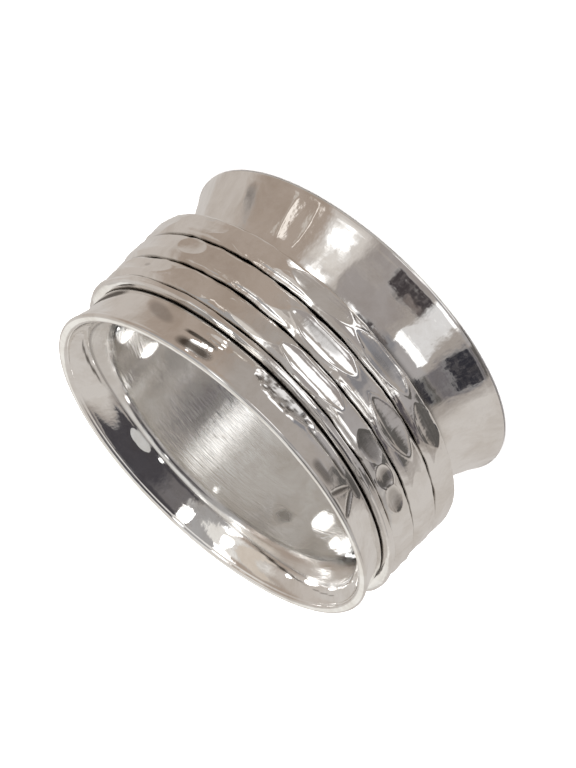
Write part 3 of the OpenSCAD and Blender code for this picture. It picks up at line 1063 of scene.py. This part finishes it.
# Small lamps close to the metal, which make its compact highlights: tone, then the place and
# radius of each in millimetres, and how many times as tall as wide it is
BEADS = {
    "white_beads": (2.8, [
        # bell mouth
        (-6.62, 6.62, 11.77, 0.20, 1), (-7.62, 5.19, 11.51, 0.28, 1), (-8.94, 3.12, 11.45, 0.16, 1),
        (1.89, 8.46, 10.98, 0.16, 1), (5.10, 6.62, 10.46, 0.20, 1), (-2.92, 8.81, 12.48, 0.36, 1),
        (-2.65, 8.30, 11.95, 0.24, 1), (-0.70, 9.39, 12.75, 0.36, 0.5),
        # bore
        (5.91, 5.71, 7.05, 0.15, 4), (7.61, 3.84, 8.45, 0.06, 7), (-5.55, 6.05, 7.12, 0.20, 3),
        (-5.95, 5.75, 7.12, 0.14, 4), (-7.03, 4.59, 8.22, 0.10, 3.5), (-7.70, 3.67, 8.37, 0.07, 4),
        (-0.92, 7.86, 9.16, 0.09, 1), (8.76, 1.05, 9.47, 0.05, 2), (-8.61, 1.65, 9.47, 0.06, 2.5),
        (-8.84, 0.60, 9.72, 0.06, 2),
        # collar
        (4.29, -10.27, 9.87, 0.14, 1),
        (4.52, -10.14, 10.50, 0.15, 1), (4.84, -10.01, 10.53, 0.15, 1), (5.06, -9.93, 10.58, 0.15, 1),
        (5.28, -9.83, 10.62, 0.15, 1), (5.48, -9.77, 10.64, 0.15, 1), (5.68, -9.71, 10.66, 0.15, 1),
    ]),
    "grey_beads": (0.62, [
        (3.35, 8.07, 11.47, 0.26, 1), (2.91, 8.20, 11.50, 0.30, 1),
    ]),
}

# What lies under the patches of the surroundings and of the cards, and the colour of the grain
ROOM_TONE, CARD_TONE, GRAIN_TONE = (0.40, 0.365, 0.34), (0.5, 0.5, 0.5), (0.5, 0.46, 0.45)
# How ragged the edges of the patches are, in degrees in the room and in millimetres on the low card
ROOM_RAGGED, LOW_RAGGED = 2.0, 0.8
# Waves of the grain: in the surroundings, a metre of the low card, and a metre of an upright card
# one millimetre from the axis
ROOM_WAVES, LOW_WAVES, UPRIGHT_WAVES = 10.0, 500.0, 16000.0

# The photo's camera, as it was fitted to both rims: its axes, the radius of a rim in millimetres and
# in pixels, the height of the picture in pixels, and how far the aim lies beside the ring's middle,
# as shares of that radius
CAMERA_RIGHT = Vector((-0.7193, -0.2546, -0.6463))
CAMERA_UP = Vector((0.6947, -0.2636, -0.6693))
CAMERA_BACK = Vector((0.0, -0.9304, 0.3665))
FITTED_RIM_MM, RIM_PIXELS, PICTURE_PIXELS = 11.0, 201.0, 768
AIM_RIGHT, AIM_UP = 0.038, 0.048


def panel_mask():
    """1 inside a patch and 0 outside it, with soft edges; its azimuth starts again after 360."""
    tree, given, out = shader_group(
        "panel_mask",
        [(name, "NodeSocketFloat", default) for name, default in (
            ("Azimuth", 0.0), ("Elevation", 0.0), ("At Azimuth", 0.0), ("At Elevation", 0.0),
            ("Half Width", 10.0), ("Half Height", 10.0), ("Softness", 3.0),
        )],
        ("Mask",),
    )
    round_to = calc(tree, "WRAP", given["Azimuth"] - given["At Azimuth"], 180.0, -180.0)
    away = calc(tree, "ABSOLUTE", round_to)
    above = calc(tree, "ABSOLUTE", given["Elevation"] - given["At Elevation"])
    beside, level = (
        ((half - value) / given["Softness"] + 0.5).clamped()
        for value, half in ((away, given["Half Width"]), (above, given["Half Height"]))
    )
    link(tree, beside * level, out["Mask"])
    return tree


def bearing(tree, x, y):
    """The direction of a place round the ring, in degrees."""
    return calc(tree, "DEGREES", calc(tree, "ARCTAN2", y, x))


def patched(tree, across, up, patches, tone, where, waves, ragged):
    """Paints patches one over another; gives the tone and where any patch covers."""
    spot = stretched(tree, where, waves, waves, waves)
    across = across + (noise(tree, spot, 1.0, 3.0, 0.6) - 0.5) * ragged
    up = up + (noise(tree, spot, 1.3, 3.0, 0.6) - 0.5) * ragged
    group = tree_of("panel_mask", panel_mask)
    cover = 0.0
    for patch in patches:
        mask = use(tree, group, {
            "Azimuth": across, "Elevation": up, "At Azimuth": patch.across, "At Elevation": patch.up,
            "Half Width": patch.half_wide, "Half Height": patch.half_high, "Softness": patch.soft,
        }, patch.name)["Mask"]
        tone = mixed(tree, mask, tone, patch.tone)
        cover = calc(tree, "MAXIMUM", cover, mask)
    grain = spread(tree, noise(tree, spot, 2.6, 5.0, 0.7, 0.6), 0.46, 0.68, 0.0, 0.2)
    return mixed(tree, grain, tone, GRAIN_TONE), cover


class RING_OT_studio(bpy.types.Operator):
    """Set up the pale floor, the soft light, what the silver mirrors, and the camera"""

    bl_idname = "ring.studio"
    bl_label = "Studio"

    def execute(self, context):
        scene = context.scene
        look = scene.studio_look
        scene.view_settings.view_transform = "Standard"
        self.floor(scene, look)
        self.surroundings(scene)
        self.upright_cards(scene)
        self.low_card(scene)
        self.beads(scene)
        self.light(scene, look)
        self.camera(scene, look)
        return {"FINISHED"}

    def floor(self, scene, look):
        """A pale matt floor just under the ring, which the silver doesn't mirror."""
        paper = bpy.data.materials.new("paper")
        paper.use_nodes = True
        surface = paper.node_tree.nodes["Principled BSDF"]
        surface.inputs["Base Color"].default_value = (*look.paper, 1.0)
        surface.inputs["Roughness"].default_value = 0.9
        surface.inputs["Specular IOR Level"].default_value = 0.0
        mesh = bpy.data.meshes.new("floor")
        half, below = 0.8, -0.01 * MM
        mesh.from_pydata(
            [(-half, -half, below), (half, -half, below), (half, half, below), (-half, half, below)],
            [], [(0, 1, 2, 3)],
        )
        mesh.materials.append(paper)
        floor = bpy.data.objects.new("floor", mesh)
        scene.collection.objects.link(floor)
        floor.visible_glossy = False

    def surroundings(self, scene):
        """A room of soft panels for the silver to mirror, and plain white for the camera."""
        world = bpy.data.worlds.new("studio")
        world.use_nodes = True
        scene.world = world
        tree = world.node_tree
        direction = tree.nodes.new("ShaderNodeTexCoord").outputs["Generated"]
        x, y, z = parts_of(tree, direction)
        elevation = calc(tree, "DEGREES", calc(tree, "ARCSINE", z))
        panels = [Patch(*row) for row in PANELS]
        tone, _ = patched(
            tree, bearing(tree, x, y), elevation, panels, ROOM_TONE, direction, ROOM_WAVES, ROOM_RAGGED
        )
        straight_on = tree.nodes.new("ShaderNodeLightPath").outputs["Is Camera Ray"]
        shown = mixed(tree, straight_on, tone, (1.0, 1.0, 1.0))
        link(tree, shown, tree.nodes["Background"].inputs["Color"])

    def upright_cards(self, scene):
        """Cards that stand round the ring."""
        for name, (away, low, high, ragged, rows) in UPRIGHT_CARDS.items():
            degrees = math.degrees(1.0) / away
            corners = [
                (away * MM * math.cos(a), away * MM * math.sin(a), z * MM)
                for a in np.radians(np.arange(0, 360, 3)) for z in (low, high)
            ]
            count = len(corners)
            faces = [(i, (i + 2) % count, (i + 3) % count, i + 1) for i in range(0, count, 2)]
            skin, tree, where, x, y, z = self.card_skin(name)
            patches = [Patch(*row) for row in rows]
            patches = [p._replace(up=p.up * degrees, half_high=p.half_high * degrees) for p in patches]
            tone, cover = patched(
                tree, bearing(tree, x, y), z * (degrees / MM), patches, CARD_TONE, where,
                UPRIGHT_WAVES / away, ragged,
            )
            self.card(scene, name, corners, faces, skin, tone, cover)

    def low_card(self, scene):
        """The round card below the bore."""
        level, radius, rows = LOW_CARD
        skin, tree, where, x, y, _ = self.card_skin("low_card")
        patches = [Patch(*row) for row in rows]
        tone, cover = patched(tree, x / MM, y / MM, patches, CARD_TONE, where, LOW_WAVES, LOW_RAGGED)
        edge = [
            (radius * MM * math.cos(a), radius * MM * math.sin(a), level * MM)
            for a in np.radians(np.arange(0, 360, 5))
        ]
        self.card(scene, "low_card", edge, [tuple(range(len(edge)))], skin, tone, cover)

    def beads(self, scene):
        """The small lamps, as one object for each tone."""
        for name, (tone, beads) in BEADS.items():
            corners, faces = [], []
            for *at, radius, tall in beads:
                edit = bmesh.new()
                place = Matrix.Translation(Vector(at) * MM) @ Matrix.Diagonal((1, 1, tall, 1))
                bmesh.ops.create_icosphere(edit, subdivisions=2, radius=radius * MM, matrix=place)
                first = len(corners)
                corners += [tuple(v.co) for v in edit.verts]
                faces += [tuple(first + v.index for v in f.verts) for f in edit.faces]
                edit.free()
            self.card(scene, name, corners, faces, self.card_skin(name)[0], (tone,) * 3, 1.0)

    def card_skin(self, name):
        """An empty material for a card, with its tree and the place on the card."""
        skin = bpy.data.materials.new(name)
        skin.use_nodes = True
        tree = skin.node_tree
        tree.nodes.remove(tree.nodes["Principled BSDF"])
        where = tree.nodes.new("ShaderNodeTexCoord").outputs["Object"]
        return skin, tree, where, *parts_of(tree, where)

    def card(self, scene, name, corners, faces, skin, tone, cover):
        """A glowing card, clear where nothing covers it, which only reflections show."""
        tree = skin.node_tree
        glow = tree.nodes.new("ShaderNodeEmission")
        clear = tree.nodes.new("ShaderNodeBsdfTransparent")
        both = tree.nodes.new("ShaderNodeMixShader")
        paint(tree, tone, glow.inputs["Color"])
        feed(tree, cover, both.inputs[0])
        link(tree, clear.outputs[0], both.inputs[1])
        link(tree, glow.outputs[0], both.inputs[2])
        link(tree, both.outputs[0], tree.nodes["Material Output"].inputs["Surface"])
        mesh = bpy.data.meshes.new(name)
        mesh.from_pydata(corners, [], faces)
        mesh.materials.append(skin)
        sheet = bpy.data.objects.new(name, mesh)
        scene.collection.objects.link(sheet)
        for ray in ("camera", "diffuse", "shadow", "transmission", "volume_scatter"):
            setattr(sheet, "visible_" + ray, False)

    def light(self, scene, look):
        """The one lamp: large, soft and straight above the ring."""
        lamp = bpy.data.lights.new("overhead_light", "AREA")
        lamp.size = 0.8
        lamp.energy = look.key_power
        thing = bpy.data.objects.new("overhead_light", lamp)
        thing.location = (0.0, 0.0, 0.6)
        thing.visible_glossy = False
        scene.collection.objects.link(thing)

    def camera(self, scene, look):
        """The photograph's place: it looks down on the near rim and is turned well over."""
        rim = FITTED_RIM_MM * MM
        middle = Vector((0.0, 0.0, 6.0 * MM))
        aside = rim * (AIM_RIGHT * CAMERA_RIGHT + AIM_UP * CAMERA_UP)
        place = middle + look.distance * CAMERA_BACK + aside
        lens = bpy.data.cameras.new("camera")
        lens.sensor_fit = "VERTICAL"
        lens.sensor_height = 36.0
        lens.sensor_width = 27.0
        lens.lens = RIM_PIXELS / rim * look.distance / PICTURE_PIXELS * lens.sensor_height
        lens.clip_start = 0.001
        camera = bpy.data.objects.new("camera", lens)
        axes = Matrix((CAMERA_RIGHT, CAMERA_UP, CAMERA_BACK)).transposed()
        camera.matrix_world = Matrix.Translation(place) @ axes.to_4x4()
        scene.collection.objects.link(camera)
        scene.camera = camera


class RING_PT_panel(bpy.types.Panel):
    """Sizes and finishes of the ring, and what makes each of its pieces"""

    bl_label = "Spinner Ring"
    bl_idname = "RING_PT_panel"
    bl_space_type = "VIEW_3D"
    bl_region_type = "UI"
    bl_category = "Ring"

    def draw(self, context):
        for group in (context.scene.ring_sizes, context.scene.silver_look, context.scene.studio_look):
            box = self.layout.box()
            for name in group.bl_rna.properties.keys():
                if name not in ("rna_type", "name"):
                    box.prop(group, name)
        for maker in MAKERS:
            self.layout.operator(maker.bl_idname)


MAKERS = (RING_OT_band, RING_OT_spinners, RING_OT_studio)
CLASSES = (RingSizes, SilverLook, StudioLook, *MAKERS, RING_PT_panel)


def register():
    for item in CLASSES:
        bpy.utils.register_class(item)
    bpy.types.Scene.ring_sizes = PointerProperty(type=RingSizes)
    bpy.types.Scene.silver_look = PointerProperty(type=SilverLook)
    bpy.types.Scene.studio_look = PointerProperty(type=StudioLook)


def unregister():
    del bpy.types.Scene.studio_look
    del bpy.types.Scene.silver_look
    del bpy.types.Scene.ring_sizes
    for item in reversed(CLASSES):
        bpy.utils.unregister_class(item)


def main():
    register()
    bpy.ops.ring.band()
    bpy.ops.ring.spinners()
    bpy.ops.ring.studio()


if __name__ == "__main__":
    main()
